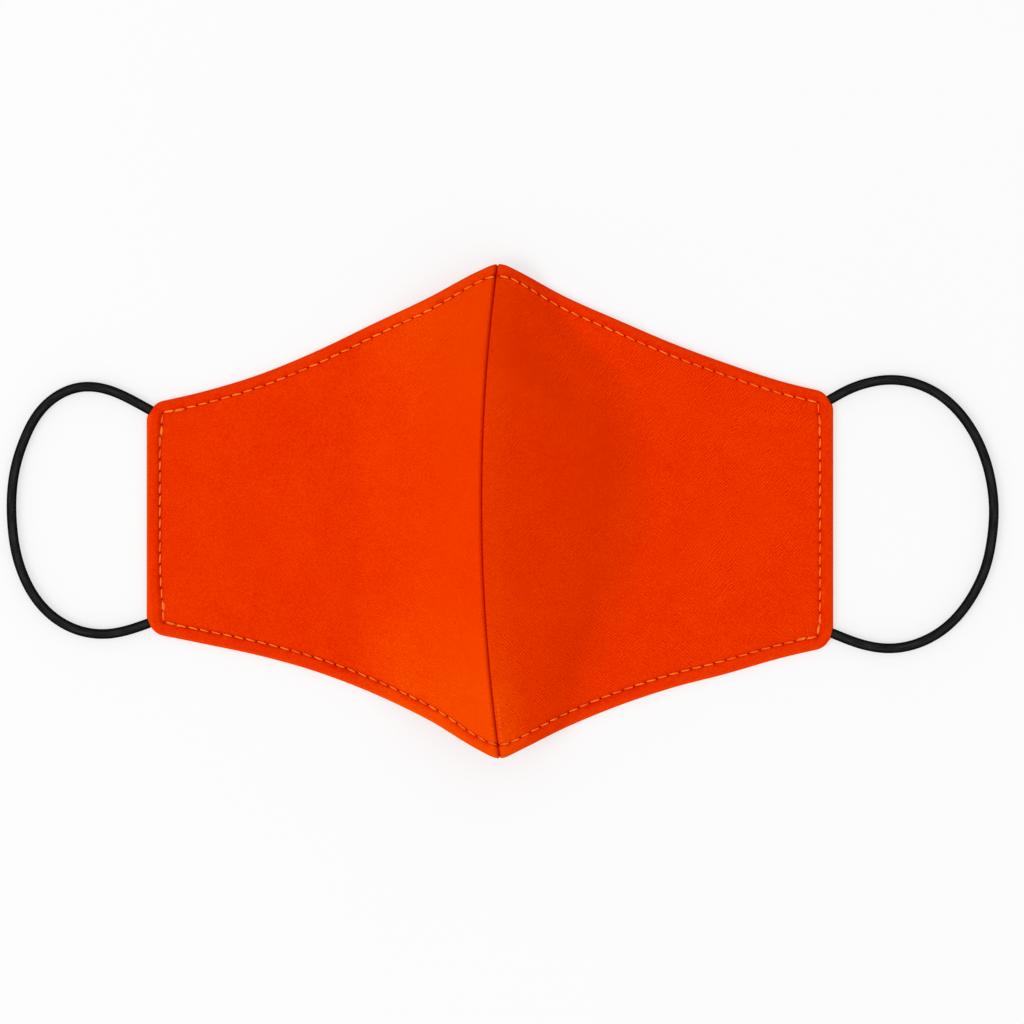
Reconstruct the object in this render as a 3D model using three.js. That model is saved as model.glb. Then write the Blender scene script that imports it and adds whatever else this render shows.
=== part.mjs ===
// Fitted cloth face mask that lies on its open side, with elastic ear loops spread on the same surface.
// Millimetres, +Z up. +Y is the nose side, +X the right side as seen from above.
// The origin is at the middle of the mask's cloth, on the surface that it lies on.
import * as THREE from "three";

// Cloth outline
const MASK_WIDTH = 223;
const MASK_HEIGHT = 161.6;
const LEFT_SIDE_HEIGHT = 74.1;
const RIGHT_SIDE_HEIGHT = 81.9;
const LEFT_SIDE_DROP = 2.4; // how far the side edges' middles lie towards the chin
const RIGHT_SIDE_DROP = 2.9;
const CORNER_RADIUS = 4.6;
const PEAK_RADIUS = 2.3; // where a panel's rim turns into the seam
const RIM_CURVE = 7; // deepest inward curve of the nose and chin rims

// Centre seam
const SEAM_OFFSET = 3; // the seam's ends lie this far to the right of the middle
const SEAM_LEAN = 0.4;
const SEAM_BOW = 5.6; // how far its middle swings to the left
const SEAM_GAP = 0.3;
const SEAM_ROLL = 1.6; // width over which each panel rolls down into the seam
const SEAM_SINK = 0.7; // how deep it rolls

// Raised ridge along the seam
const RIDGE_HEIGHT = 32; // of the underside, above the surface

// Cloth
const CLOTH_THICKNESS = 1.6;
const HEM_THICKNESS = 2.5;
const HEM_WIDTH = 4.3; // from the rim to the stitch line
const HEM_STEP = 1.1; // from the stitch line to the plain cloth
const STITCH_SINK = 0.35; // how far the stitches pull the cloth down
const RIM_ROUND = 0.9; // width of the rim's rounded edge

// Elastic cord
const CORD_DIAMETER = 3;
const CORD_SIDES = 8;
const CORD_STEPS = 44;

// Fineness of the panels, inside their hems
const INNER_COLUMNS = 19;
const INNER_ROWS = 20;

const CLOTH_COLOR = 0xec3600;
const CORD_COLOR = 0x1c1d1f;

// How far the nose and chin rims curve inwards, in shares of RIM_CURVE, from side edge (0) to seam (1)
const RIM_DIPS = [
  { across: 0, noseLeft: 0, noseRight: 0, chinLeft: 0, chinRight: 0 },
  { across: 0.16, noseLeft: 0.46, noseRight: 0.37, chinLeft: 0.42, chinRight: 0.27 },
  { across: 0.32, noseLeft: 0.72, noseRight: 0.53, chinLeft: 0.81, chinRight: 0.4 },
  { across: 0.48, noseLeft: 0.7, noseRight: 0.59, chinLeft: 1.02, chinRight: 0.6 },
  { across: 0.64, noseLeft: 0.5, noseRight: 0.51, chinLeft: 0.97, chinRight: 0.62 },
  { across: 0.8, noseLeft: 0.34, noseRight: 0.39, chinLeft: 0.69, chinRight: 0.45 },
  { across: 0.92, noseLeft: 0.08, noseRight: 0.12, chinLeft: 0.22, chinRight: 0.19 },
  { across: 1, noseLeft: 0, noseRight: 0, chinLeft: 0, chinRight: 0 },
];

// Section of the hem from the rim inwards: rounded edge, puffed middle, stitch line, plain cloth
const HEM_PROFILE = [
  { inward: 0, low: 0.3 * HEM_THICKNESS, high: 0.7 * HEM_THICKNESS },
  { inward: RIM_ROUND, low: 0, high: 0.96 * HEM_THICKNESS },
  { inward: HEM_WIDTH / 2, low: 0, high: HEM_THICKNESS },
  { inward: HEM_WIDTH, low: 0, high: (HEM_THICKNESS + CLOTH_THICKNESS) / 2 - STITCH_SINK },
  { inward: HEM_WIDTH + HEM_STEP, low: 0, high: CLOTH_THICKNESS },
];
const HEM_STATIONS = HEM_PROFILE.map((row) => row.inward);
const SEAM_STATIONS = [0, SEAM_ROLL / 2, SEAM_ROLL];

// The ridge from chin (0) to nose (1): its crest in shares of RIDGE_HEIGHT, and how far its slopes reach
// from the seam in shares of the panel's width
const RIDGE_SECTIONS = [
  { up: 0, crest: 0.34, leftFoot: 0.35, rightFoot: 0.2 },
  { up: 0.125, crest: 0.56, leftFoot: 0.33, rightFoot: 0.26 },
  { up: 0.25, crest: 0.78, leftFoot: 0.32, rightFoot: 0.35 },
  { up: 0.375, crest: 0.94, leftFoot: 0.31, rightFoot: 0.43 },
  { up: 0.5, crest: 1, leftFoot: 0.31, rightFoot: 0.48 },
  { up: 0.625, crest: 0.95, leftFoot: 0.31, rightFoot: 0.46 },
  { up: 0.75, crest: 0.8, leftFoot: 0.31, rightFoot: 0.38 },
  { up: 0.875, crest: 0.5, leftFoot: 0.32, rightFoot: 0.22 },
  { up: 1, crest: 0.2, leftFoot: 0.34, rightFoot: 0.09 },
];

// How each slope falls: belly is its roundness, foot the softness of the bend onto the flat part
const SLOPES = {
  left: { belly: 0.1, foot: 0.2 },
  right: { belly: 0.25, foot: 0.22 },
};

const FOLD_FADE = 0.15; // how shallow a fold starts and ends

// Folds pressed into the slopes: ends in shares from the seam outwards and from chin to nose, width in
// shares of the panel's width, depth in shares of the local height
const FOLDS = [
  { side: "right", across: 0.39, up: 0.34, toAcross: 0.24, toUp: 0.12, width: 0.06, depth: 0.3 },
  { side: "right", across: 0.1, up: 0.86, toAcross: 0.34, toUp: 0.7, width: 0.07, depth: 0.22 },
  { side: "left", across: 0.05, up: 0.9, toAcross: 0.17, toUp: 0.72, width: 0.045, depth: 0.12 },
];

// The loops' routes as x outwards from the side edge and y, both chosen along the cord's middle
const LEFT_ROUTE = [
  [-0.7, 33.0], [5.0, 36.2], [12.7, 39.7], [21.2, 40.7], [29.2, 37.7], [35.5, 31.8], [39.3, 24.5],
  [41.8, 17.8], [43.3, 11.4], [43.9, 5.4], [44.0, -0.3], [43.6, -6.0], [42.9, -11.9], [41.3, -18.0],
  [38.6, -24.5], [34.5, -30.7], [28.5, -36.0], [21.0, -39.4], [12.7, -40.2], [4.6, -38.4], [0.35, -36.8],
];
const RIGHT_ROUTE = [
  [-0.5, 36.5], [3.6, 39.0], [9.6, 41.4], [18.8, 42.9], [27.9, 41.3], [35.8, 37.1], [41.9, 31.1],
  [46.3, 24.4], [49.2, 17.8], [51.0, 11.3], [52.0, 5.1], [52.3, -1.0], [51.8, -7.0], [50.9, -13.2],
  [49.2, -19.7], [46.1, -26.2], [41.8, -32.8], [35.7, -38.8], [27.8, -43.1], [18.8, -44.9],
  [9.6, -43.6], [4.0, -41.5], [0.4, -40.0],
];

const clothMaterial = new THREE.MeshStandardMaterial({ color: CLOTH_COLOR, roughness: 0.85, metalness: 0 });
const cordMaterial = new THREE.MeshStandardMaterial({ color: CORD_COLOR, roughness: 0.7, metalness: 0 });

// Smooth value of one column of a table at a place between its rows
function readTable(table, key, column, at) {
  const last = table.length - 1;
  let i = 0;
  while (i < last - 1 && at > table[i + 1][key]) i += 1;
  const from = table[i];
  const to = table[i + 1];
  const before = table[Math.max(i - 1, 0)];
  const after = table[Math.min(i + 2, last)];
  const span = to[key] - from[key];
  const t = THREE.MathUtils.clamp((at - from[key]) / span, 0, 1);
  const startSlope = ((to[column] - before[column]) / (to[key] - before[key])) * span;
  const endSlope = ((after[column] - from[column]) / (after[key] - from[key])) * span;
  const rise = to[column] - from[column];
  return (
    from[column] +
    t * (startSlope + t * (3 * rise - 2 * startSlope - endSlope + t * (startSlope + endSlope - 2 * rise)))
  );
}

// One panel's own values, with sign -1 on the left and +1 on the right
function describeSide(side) {
  const left = side === "left";
  const sign = left ? -1 : 1;
  const sideHeight = left ? LEFT_SIDE_HEIGHT : RIGHT_SIDE_HEIGHT;
  const sideDrop = left ? LEFT_SIDE_DROP : RIGHT_SIDE_DROP;
  return {
    side,
    sign,
    edgeX: (sign * MASK_WIDTH) / 2,
    width: MASK_WIDTH / 2 - sign * SEAM_OFFSET,
    noseCorner: sideHeight / 2 - sideDrop,
    chinCorner: -sideHeight / 2 - sideDrop,
    noseDip: left ? "noseLeft" : "noseRight",
    chinDip: left ? "chinLeft" : "chinRight",
    foot: left ? "leftFoot" : "rightFoot",
    slope: SLOPES[side],
    folds: FOLDS.filter((fold) => fold.side === side),
  };
}

function seamX(y) {
  const along = (2 * y) / MASK_HEIGHT;
  return SEAM_OFFSET - SEAM_LEAN * along - SEAM_BOW * (1 - along * along);
}

// The nose and chin rims' y at a share of the way from the side edge to the seam
function noseRim(panel, across) {
  const straight = THREE.MathUtils.lerp(panel.noseCorner, MASK_HEIGHT / 2, across);
  return straight - RIM_CURVE * readTable(RIM_DIPS, "across", panel.noseDip, across);
}

function chinRim(panel, across) {
  const straight = THREE.MathUtils.lerp(panel.chinCorner, -MASK_HEIGHT / 2, across);
  return straight + RIM_CURVE * readTable(RIM_DIPS, "across", panel.chinDip, across);
}

// A corner's square, measured inwards from both its edges, becomes a quarter of a round
function roundCorner(fromEdge, fromRim, radius) {
  const p = (radius - fromEdge) / radius;
  const q = (radius - fromRim) / radius;
  if (p <= 0 || q <= 0) return [fromEdge, fromRim];
  return [radius - radius * p * Math.sqrt(1 - (q * q) / 2), radius - radius * q * Math.sqrt(1 - (p * p) / 2)];
}

// What is left of the ridge's local height where folds press it in
function foldShare(panel, fromSeam, up) {
  let share = 1;
  for (const fold of panel.folds) {
    const runX = (fold.toAcross - fold.across) * panel.width;
    const runY = (fold.toUp - fold.up) * MASK_HEIGHT;
    const x = fromSeam - fold.across * panel.width;
    const y = (up - fold.up) * MASK_HEIGHT;
    const along = THREE.MathUtils.clamp((x * runX + y * runY) / (runX * runX + runY * runY), 0, 1);
    const away = Math.hypot(x - along * runX, y - along * runY) / (fold.width * panel.width);
    const strength = Math.sin(Math.PI * THREE.MathUtils.lerp(FOLD_FADE, 1 - FOLD_FADE, along));
    share -= fold.depth * strength * Math.exp(-away * away);
  }
  return share;
}

// Height of the underside above the surface
function ridgeLift(panel, x, y) {
  const up = THREE.MathUtils.clamp(y / MASK_HEIGHT + 0.5, 0, 1);
  const fromSeam = Math.max(0, panel.sign * (x - seamX(y)));
  const down = fromSeam / (readTable(RIDGE_SECTIONS, "up", panel.foot, up) * panel.width);
  if (down > 1 + panel.slope.foot) return 0;
  let fall = (1 - down) * (1 + panel.slope.belly * down);
  const soft = panel.slope.foot;
  if (fall < soft) fall = Math.max(0, fall + soft) ** 2 / (4 * soft);
  const crest = RIDGE_HEIGHT * readTable(RIDGE_SECTIONS, "up", "crest", up);
  return crest * fall * foldShare(panel, fromSeam, up);
}

// Upper and lower face above the underside's level, by distance from the rim and from the seam
function clothFaces(fromRim, fromSeam) {
  const roll = THREE.MathUtils.clamp(1 - fromSeam / SEAM_ROLL, 0, 1);
  return {
    top: readTable(HEM_PROFILE, "inward", "high", fromRim) - SEAM_SINK * roll * roll,
    bottom: Math.max(0, readTable(HEM_PROFILE, "inward", "low", fromRim)),
  };
}

// Distances along one direction: the hem's stations, then even steps over the rest
function spread(count, length, startStations, endStations) {
  const start = startStations[startStations.length - 1];
  const end = endStations[endStations.length - 1];
  const middle = [];
  for (let i = 1; i < count; i += 1) middle.push(start + ((length - start - end) * i) / count);
  return [...startStations, ...middle, ...[...endStations].reverse().map((d) => length - d)];
}

// One half of the mask: a block of many faces whose corners move onto the cloth's two faces
function makePanel(side) {
  const panel = describeSide(side);
  const columns = INNER_COLUMNS + HEM_STATIONS.length + SEAM_STATIONS.length - 2;
  const rows = INNER_ROWS + 2 * (HEM_STATIONS.length - 1);
  const geometry = new THREE.BoxGeometry(1, 1, 1, columns, rows, 1);
  const position = geometry.getAttribute("position");
  for (let i = 0; i < position.count; i += 1) {
    const fromLeft = Math.round((position.getX(i) + 0.5) * columns);
    const column = side === "left" ? fromLeft : columns - fromLeft;
    const row = Math.round((position.getY(i) + 0.5) * rows);
    const upper = position.getZ(i) > 0;
    position.setXYZ(i, ...placeOnCloth(panel, column, row, upper));
  }
  geometry.computeVertexNormals();
  const mesh = new THREE.Mesh(geometry, clothMaterial);
  mesh.name = `panel_${side}`;
  return mesh;
}

// Where one corner of the block goes, by its column from the side edge and its row from the chin
function placeOnCloth(panel, column, row, upper) {
  // The rims' heights and the seam's place depend on each other, so they are settled in a few rounds
  let fromEdge = spread(INNER_COLUMNS, panel.width, HEM_STATIONS, SEAM_STATIONS)[column];
  let nose = 0;
  let chin = 0;
  let slant = 1;
  let fromChin = 0;
  let length = panel.width;
  for (let round = 0; round < 3; round += 1) {
    const across = fromEdge / panel.width;
    nose = noseRim(panel, across);
    chin = chinRim(panel, across);
    slant = Math.hypot(1, (noseRim(panel, across + 0.01) - nose) / (0.01 * panel.width));
    const rimStations = HEM_STATIONS.map((d) => d * slant);
    fromChin = spread(INNER_ROWS, nose - chin, rimStations, rimStations)[row];
    length = panel.sign * (panel.edgeX - seamX(chin + fromChin)) - SEAM_GAP / 2;
    fromEdge = spread(INNER_COLUMNS, length, HEM_STATIONS, SEAM_STATIONS)[column];
  }
  const flatY = chin + fromChin;
  const fromRim = Math.min(fromChin, nose - flatY);
  const towardsNose = nose - flatY < fromChin;

  // Round the side corners and the rims' ends at the seam
  let [edge, rim] = roundCorner(fromEdge, fromRim, CORNER_RADIUS);
  const [seam, peak] = roundCorner(length - fromEdge, rim, PEAK_RADIUS);
  if (seam !== length - fromEdge) {
    edge = length - seam;
    rim = peak;
  }
  const y = towardsNose ? nose - rim : chin + rim;
  const x = panel.edgeX - panel.sign * edge;
  const lift = ridgeLift(panel, x, y);
  const step = CLOTH_THICKNESS / 4;
  const steepX = (ridgeLift(panel, x + panel.sign * step, y) - lift) / step;
  const steepY = (ridgeLift(panel, x, y + step) - ridgeLift(panel, x, y - step)) / (2 * step);
  const steepness = Math.hypot(1, steepX, steepY);
  const faces = clothFaces(Math.min(fromEdge, fromRim / slant), length - fromEdge);
  return [x, y, lift + (upper ? faces.top : faces.bottom) * steepness];
}

// An ear loop: round elastic cord on its chosen route, resting on the surface
function makeEarLoop(side, route) {
  const panel = describeSide(side);
  const radius = CORD_DIAMETER / 2;
  const points = route.map(([out, y]) => new THREE.Vector3(panel.edgeX + panel.sign * out, y, radius));
  const section = new THREE.Shape();
  section.absarc(0, 0, radius, Math.PI / CORD_SIDES, 2 * Math.PI + Math.PI / CORD_SIDES, false);
  const geometry = new THREE.ExtrudeGeometry(section, {
    steps: CORD_STEPS,
    curveSegments: CORD_SIDES / 2,
    extrudePath: new THREE.CatmullRomCurve3(points, false, "centripetal"),
    bevelEnabled: false,
  });
  const mesh = new THREE.Mesh(geometry, cordMaterial);
  mesh.name = `ear_loop_${side}`;
  return mesh;
}

const mask = new THREE.Group();
mask.add(makePanel("left"));
mask.add(makePanel("right"));
mask.add(makeEarLoop("left", LEFT_ROUTE));
mask.add(makeEarLoop("right", RIGHT_ROUTE));

export default mask;
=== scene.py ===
# A fitted cloth face mask that lies on its open side, with its elastic ear loops spread around it.
# Metres, +Z up, +Y towards the nose end of the seam. It is seen from straight above.
import math
from types import SimpleNamespace

import bmesh
import bpy
from mathutils import Matrix, Vector, noise


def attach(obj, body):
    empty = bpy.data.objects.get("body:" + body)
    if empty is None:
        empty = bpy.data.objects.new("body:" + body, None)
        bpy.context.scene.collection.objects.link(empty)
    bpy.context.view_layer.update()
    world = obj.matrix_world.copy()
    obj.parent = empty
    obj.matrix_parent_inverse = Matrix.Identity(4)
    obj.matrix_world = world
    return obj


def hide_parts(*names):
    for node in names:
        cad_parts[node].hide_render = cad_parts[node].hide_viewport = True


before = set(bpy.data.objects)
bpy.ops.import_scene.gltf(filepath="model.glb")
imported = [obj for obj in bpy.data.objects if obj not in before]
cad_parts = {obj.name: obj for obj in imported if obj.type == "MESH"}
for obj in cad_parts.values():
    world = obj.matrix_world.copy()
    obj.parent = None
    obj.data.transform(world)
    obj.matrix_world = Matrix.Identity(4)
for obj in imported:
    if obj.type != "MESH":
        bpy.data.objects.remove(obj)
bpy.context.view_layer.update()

MM = 0.001

# Cloth outline
MASK_WIDTH = 223 * MM
MASK_HEIGHT = 161.6 * MM
SIDE_HEIGHT = {"left": 74.1 * MM, "right": 81.9 * MM}
SIDE_DROP = {"left": 2.4 * MM, "right": 2.9 * MM}
CORNER_RADIUS = 5.4 * MM
PEAK_RADIUS = 0.9 * MM
PEAK_FLAT = 0.75 * MM
PEAK_FLAT_REACH = 3.4 * MM
RIM_CURVE = 7 * MM

# Centre seam
SEAM_OFFSET = 3 * MM
SEAM_LEAN = 0.4 * MM
SEAM_BOW = 5.6 * MM
SEAM_ROLL = {"left": 1.4 * MM, "right": 0.9 * MM}
SEAM_SINK = {"left": 0.7 * MM, "right": 0.45 * MM}
SEAM_OVERLAP = 0.04 * MM

# Ridge along the seam
RIDGE_HEIGHT = 32 * MM
FOLD_FADE = 0.15

# Cloth and hem
CLOTH_THICKNESS = 1.6 * MM
HEM_THICKNESS = 2.5 * MM
HEM_WIDTH = 4.3 * MM
RIM_ROUND = 1.15 * MM
STITCH_PITCH = 3.85 * MM
WEAVE_PITCH = 0.76 * MM

# Relief of the hem, and of the cloth beside its line of stitches
HEM_FADE = (3.5 * MM, 5 * MM)
GROOVE_WIDTH = 0.6 * MM
PUFF_HEIGHT = 0.2 * MM
PUFF_PLACE = 2 * MM
PUFF_WIDTH = 1.2 * MM
PILLOW_HEIGHT = 0.12 * MM
PILLOW_PLACE = 1.9 * MM
PILLOW_WIDTH = 1.3 * MM
SEAM_UNEVEN = 0.1 * MM
SEAM_LIFT = 0.3 * MM

# Soft hills in the cloth: how far apart, how high, and a number that sets where they lie
HILLS = [(34 * MM, 0.45 * MM, 1.7), (11 * MM, 0.14 * MM, 8.2)]

# Elastic cord
CORD_DIAMETER = 3.2 * MM
CORD_TUCK = 3 * MM
CORD_SWELL = 1 * MM
CORD_SWELL_WIDTH = 1.5 * MM
CORD_SIDES = 24
ROUTE_SMOOTHINGS = 30
# The knit pattern is drawn for this length and shrinks to the real one
KNIT_RUN = 200 * MM
KNIT_PITCH = 0.9 * MM
KNIT_RIBS = 16

# Thread
THREAD_RADIUS = 0.25 * MM
STITCH_SHOWN = 0.82
STITCH_SLANT = 0.14 * MM

# Camera: one pixel of the photograph is this wide on the surface
PIXEL = 0.325 * MM
PHOTO_SIDE = 1024
ORIGIN_PIXEL = (490, 511)
CAMERA_HEIGHT = 2.4

# Floor and light
FLOOR_REACH = 12
FLOOR_CELLS = 48
FLOOR_LEVEL = -0.2 * MM
FLOOR_GLOW = 0.62
STUDIO_WHITE = (1, 1, 1, 1)
STUDIO_BRIGHTNESS = 0.92
WINDOW_PLACE = (-2.2, -0.9, 3.0)
WINDOW_SIDE = 1.8
WINDOW_POWER = 52

# How far the nose and chin rims curve inwards, in shares of RIM_CURVE, from the side edge (0) to
# the seam (1)
RIM_DIPS = [
    {"across": 0, "nose_left": 0, "nose_right": 0, "chin_left": 0, "chin_right": 0},
    {"across": 0.16, "nose_left": 0.46, "nose_right": 0.37, "chin_left": 0.42, "chin_right": 0.27},
    {"across": 0.32, "nose_left": 0.72, "nose_right": 0.53, "chin_left": 0.81, "chin_right": 0.4},
    {"across": 0.48, "nose_left": 0.7, "nose_right": 0.59, "chin_left": 1.02, "chin_right": 0.6},
    {"across": 0.64, "nose_left": 0.5, "nose_right": 0.51, "chin_left": 0.97, "chin_right": 0.62},
    {"across": 0.8, "nose_left": 0.34, "nose_right": 0.39, "chin_left": 0.69, "chin_right": 0.45},
    {"across": 0.92, "nose_left": 0.08, "nose_right": 0.12, "chin_left": 0.22, "chin_right": 0.19},
    {"across": 1, "nose_left": 0, "nose_right": 0, "chin_left": 0, "chin_right": 0},
]

# The ridge from chin (0) to nose (1): its crest in shares of RIDGE_HEIGHT, and how far its slopes reach
# from the seam in shares of the panel's width
RIDGE_SECTIONS = [
    {"up": 0, "crest": 0.34, "foot_left": 0.35, "foot_right": 0.2},
    {"up": 0.125, "crest": 0.56, "foot_left": 0.33, "foot_right": 0.26},
    {"up": 0.25, "crest": 0.78, "foot_left": 0.32, "foot_right": 0.35},
    {"up": 0.375, "crest": 0.94, "foot_left": 0.31, "foot_right": 0.41},
    {"up": 0.5, "crest": 1, "foot_left": 0.31, "foot_right": 0.45},
    {"up": 0.625, "crest": 0.95, "foot_left": 0.31, "foot_right": 0.44},
    {"up": 0.75, "crest": 0.8, "foot_left": 0.31, "foot_right": 0.38},
    {"up": 0.875, "crest": 0.5, "foot_left": 0.32, "foot_right": 0.22},
    {"up": 1, "crest": 0.2, "foot_left": 0.34, "foot_right": 0.09},
]

# How round each slope is, and how softly it bends onto the flat part
BELLY = {"left": 0.1, "right": 0.25}
FOOT_BEND = {"left": 0.2, "right": 0.22}

# Folds pressed into the slopes: ends in shares from the seam outwards and from chin to nose, width in
# shares of the panel's width, depth in shares of the local height
FOLDS = [
    {"side": "right", "start": (0.39, 0.34), "end": (0.24, 0.12), "width": 0.06, "depth": 0.3},
    {"side": "right", "start": (0.1, 0.86), "end": (0.34, 0.7), "width": 0.07, "depth": 0.22},
    {"side": "left", "start": (0.05, 0.9), "end": (0.17, 0.72), "width": 0.045, "depth": 0.12},
]

# Distances from a rim at which the hem's section needs a row of faces, in millimetres: finer where the edge
# is round and beside the stitches
HEM_ROWS = [0, 0.04, 0.16, 0.38, 0.7, 1.15, 1.8, 2.5, 3.1, 3.6, 3.95, 4.3, 4.65, 5, 5.5, 6.2]
SEAM_ROWS = [0, 0.12, 0.35, 0.65, 1, 1.4, 1.9, 2.6]
INNER_COLUMNS = 132
INNER_ROWS = 104

# The loops' routes as x outwards from the side edge and y, in millimetres
LEFT_ROUTE = [
    (-0.7, 33.0), (5.0, 36.2), (12.7, 39.7), (21.2, 40.7), (29.2, 37.7), (35.5, 31.8), (39.3, 24.5),
    (41.8, 17.8), (43.3, 11.4), (43.9, 5.4), (44.0, -0.3), (43.6, -6.0), (42.9, -11.9), (41.3, -18.0),
    (38.6, -24.5), (34.5, -30.7), (28.5, -36.0), (21.0, -39.4), (12.7, -40.2), (4.6, -38.4), (0.35, -36.8),
]
RIGHT_ROUTE = [
    (-0.5, 36.5), (3.6, 39.0), (9.6, 41.4), (18.8, 42.9), (27.9, 41.3), (35.8, 37.1), (41.9, 31.1),
    (46.3, 24.4), (49.2, 17.8), (51.0, 11.3), (52.0, 5.1), (52.3, -1.0), (51.8, -7.0), (50.9, -13.2),
    (49.2, -19.7), (46.1, -26.2), (41.8, -32.8), (35.7, -38.8), (27.8, -43.1), (18.8, -44.9),
    (9.6, -43.6), (4.0, -41.5), (0.4, -40.0),
]
ROUTES = {"left": LEFT_ROUTE, "right": RIGHT_ROUTE}

# How the side's line of stitches bends inwards at its two ends: by how much, and over what length
SIDE_BENDS = {
    "left": {"nose": (0.9 * MM, 10 * MM), "chin": (1.4 * MM, 21 * MM)},
    "right": {"nose": (0.7 * MM, 8 * MM), "chin": (0.65 * MM, 6 * MM)},
}

# How far inwards the nose and chin lines of stitches lie, how much nearer to the rim they come towards the
# seam, and how far they dip away from it again right beside the seam
RIM_DEPTH = {"nose": 3.85 * MM, "chin": 4.3 * MM}
PEAK_RISE = 0.65 * MM
PEAK_RISE_REACH = 28 * MM
PEAK_DIP = 0.8 * MM
PEAK_REACH = 2.6 * MM

# Each line of stitches is measured in this many steps
LINE_STEPS = 240

# Places of doubled stitches, where the sewing was locked over the cord's ends: the hem line, and how many
# stitches from its start
LOCKED_STITCHES = {
    "left": [("side", 1), ("side", -2), ("nose", -2), ("chin", -2)],
    "right": [("side", 1), ("side", -2), ("chin", -2)],
}
# The doubled stitches there: how far on, in stitches, and how far aside, in widths of the thread
LOCKED_SHIFTS = [(0.14, 0.7), (0.9, -0.45)]


def blend(start, end, share):
    return start + (end - start) * share


def clamp(value, low, high):
    return max(low, min(high, value))


def ease(low, high, value):
    """From 0 at low to 1 at high, with level ends."""
    share = clamp((value - low) / (high - low), 0, 1)
    return share * share * (3 - 2 * share)


def bump(distance, width):
    return math.exp(-((distance / width) ** 2))


def read_table(table, key, column, at):
    """Smooth value of one column of a table at a place between its rows."""
    last = len(table) - 1
    i = 0
    while i < last - 1 and at > table[i + 1][key]:
        i += 1
    row, after = table[i], table[i + 1]
    before, beyond = table[max(i - 1, 0)], table[min(i + 2, last)]
    span = after[key] - row[key]
    t = clamp((at - row[key]) / span, 0, 1)
    start_slope = (after[column] - before[column]) / (after[key] - before[key]) * span
    end_slope = (beyond[column] - row[column]) / (beyond[key] - row[key]) * span
    rise = after[column] - row[column]
    bend = 3 * rise - 2 * start_slope - end_slope + t * (start_slope + end_slope - 2 * rise)
    return row[column] + t * (start_slope + t * bend)


# Shape of the cloth

def describe_panel(side):
    sign = -1 if side == "left" else 1
    return SimpleNamespace(
        side=side,
        sign=sign,
        edge_x=sign * MASK_WIDTH / 2,
        width=MASK_WIDTH / 2 - sign * SEAM_OFFSET,
        nose_corner=SIDE_HEIGHT[side] / 2 - SIDE_DROP[side],
        chin_corner=-SIDE_HEIGHT[side] / 2 - SIDE_DROP[side],
        folds=[fold for fold in FOLDS if fold["side"] == side],
    )


def seam_x(y):
    along = 2 * y / MASK_HEIGHT
    return SEAM_OFFSET - SEAM_LEAN * along - SEAM_BOW * (1 - along * along)


def rim_y(panel, end, across):
    """The nose or chin rim's y at a share of the way from the side edge to the seam."""
    corner, inwards = (panel.nose_corner, -1) if end == "nose" else (panel.chin_corner, 1)
    straight = blend(corner, -inwards * MASK_HEIGHT / 2, across)
    dip = RIM_CURVE * read_table(RIM_DIPS, "across", end + "_" + panel.side, across)
    flat = PEAK_FLAT * clamp(1 - (1 - across) * panel.width / PEAK_FLAT_REACH, 0, 1.2) ** 2
    return straight + inwards * (dip + flat)


def rim_slant(panel, end, across):
    """Length along the rim for each length across."""
    step = 0.01
    climb = rim_y(panel, end, across + step) - rim_y(panel, end, across)
    return math.hypot(1, climb / (step * panel.width))


def round_corner(from_edge, from_rim, radius):
    """Places in a corner's square, measured inwards from both its edges, moved into a quarter circle."""
    p = (radius - from_edge) / radius
    q = (radius - from_rim) / radius
    if p <= 0 or q <= 0:
        return from_edge, from_rim
    shrink = max(p, q) / math.hypot(p, q)
    return radius * (1 - p * shrink), radius * (1 - q * shrink)


def inset(from_edge, from_rim, radius):
    """Distance inwards from two edges that meet in a round corner."""
    if from_edge < radius and from_rim < radius:
        return radius - math.hypot(radius - from_edge, radius - from_rim)
    return min(from_edge, from_rim)


def fold_share(panel, from_seam, up):
    """What is left of the ridge's local height where folds press it in."""
    share = 1
    for fold in panel.folds:
        run_x = (fold["end"][0] - fold["start"][0]) * panel.width
        run_y = (fold["end"][1] - fold["start"][1]) * MASK_HEIGHT
        x = from_seam - fold["start"][0] * panel.width
        y = (up - fold["start"][1]) * MASK_HEIGHT
        along = clamp((x * run_x + y * run_y) / (run_x * run_x + run_y * run_y), 0, 1)
        away = math.hypot(x - along * run_x, y - along * run_y)
        strength = math.sin(math.pi * blend(FOLD_FADE, 1 - FOLD_FADE, along))
        share -= fold["depth"] * strength * bump(away, fold["width"] * panel.width)
    return share


def ridge_lift(panel, x, y):
    """Height of the underside above the surface."""
    up = clamp(y / MASK_HEIGHT + 0.5, 0, 1)
    from_seam = max(0, panel.sign * (x - seam_x(y)))
    down = from_seam / (read_table(RIDGE_SECTIONS, "up", "foot_" + panel.side, up) * panel.width)
    bend = FOOT_BEND[panel.side]
    if down > 1 + bend:
        return 0
    fall = (1 - down) * (1 + BELLY[panel.side] * down)
    if fall < bend:
        fall = max(0, fall + bend) ** 2 / (4 * bend)
    crest = RIDGE_HEIGHT * read_table(RIDGE_SECTIONS, "up", "crest", up)
    return crest * fall * fold_share(panel, from_seam, up)


def soft_hills(x, y, scale, height, seed):
    """Low uneven swells, never below nothing."""
    swell = noise.noise(Vector((x / scale, y / scale, seed)))
    return height * max(0, swell + 0.45)


def steepness(panel, x, y, lift):
    """How much higher a face stands where the cloth under it slopes, so that it stays as thick."""
    step = 0.4 * MM
    rise_x = (ridge_lift(panel, x + panel.sign * step, y) - lift) / step
    rise_y = (ridge_lift(panel, x, y + step) - ridge_lift(panel, x, y - step)) / (2 * step)
    return math.hypot(1, rise_x, rise_y)


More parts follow.
